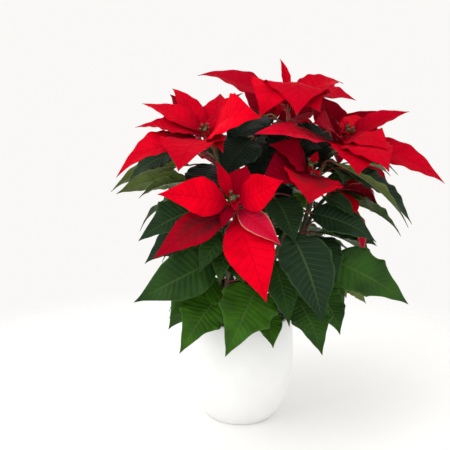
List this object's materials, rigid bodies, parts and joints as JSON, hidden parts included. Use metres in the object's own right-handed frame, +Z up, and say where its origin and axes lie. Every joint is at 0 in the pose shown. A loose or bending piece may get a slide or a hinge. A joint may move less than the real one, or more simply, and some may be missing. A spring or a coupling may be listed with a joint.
{
  "type": "potted poinsettia",
  "caption": "Bushy poinsettia with pointed red bracts above dark green leaves, growing from soil in a rounded plain white cover pot.",
  "frame": {"origin": "centre of the cover pot's foot, on the plane it stands on", "axes": "+Z up along the pot's axis; -Y is the side the plant is seen from in the picture; +X to the right there"},
  "size_m": [0.4344, 0.3762, 0.4832],
  "materials": {
    "white_ceramic": "satin white glaze",
    "black_plastic": "matte",
    "potting_soil": "crumbly damp peat",
    "green_leaf": "soft matte leaf",
    "red_bract": "soft velvety bract",
    "yellow_bud": "waxy bud"
  },
  "bodies": {
    "root": {"cover_pot": "white_ceramic", "nursery_pot": "black_plastic", "soil": "potting_soil", "leafy_stem_left": "green_leaf", "leafy_stem_right": "green_leaf", "leafy_stem_back": "green_leaf", "bracts_a": "red_bract", "bracts_b": "red_bract", "bracts_c": "red_bract", "bracts_d": "red_bract", "bracts_e": "red_bract", "bracts_f": "red_bract", "bracts_p": "red_bract", "bracts_q": "red_bract", "bracts_r": "red_bract", "cyathia_a": "yellow_bud", "cyathia_b": "yellow_bud", "cyathia_c": "yellow_bud", "cyathia_d": "yellow_bud", "cyathia_e": "yellow_bud", "cyathia_f": "yellow_bud", "cyathia_p": "yellow_bud", "cyathia_q": "yellow_bud", "cyathia_r": "yellow_bud"}
  },
  "joints": []
}
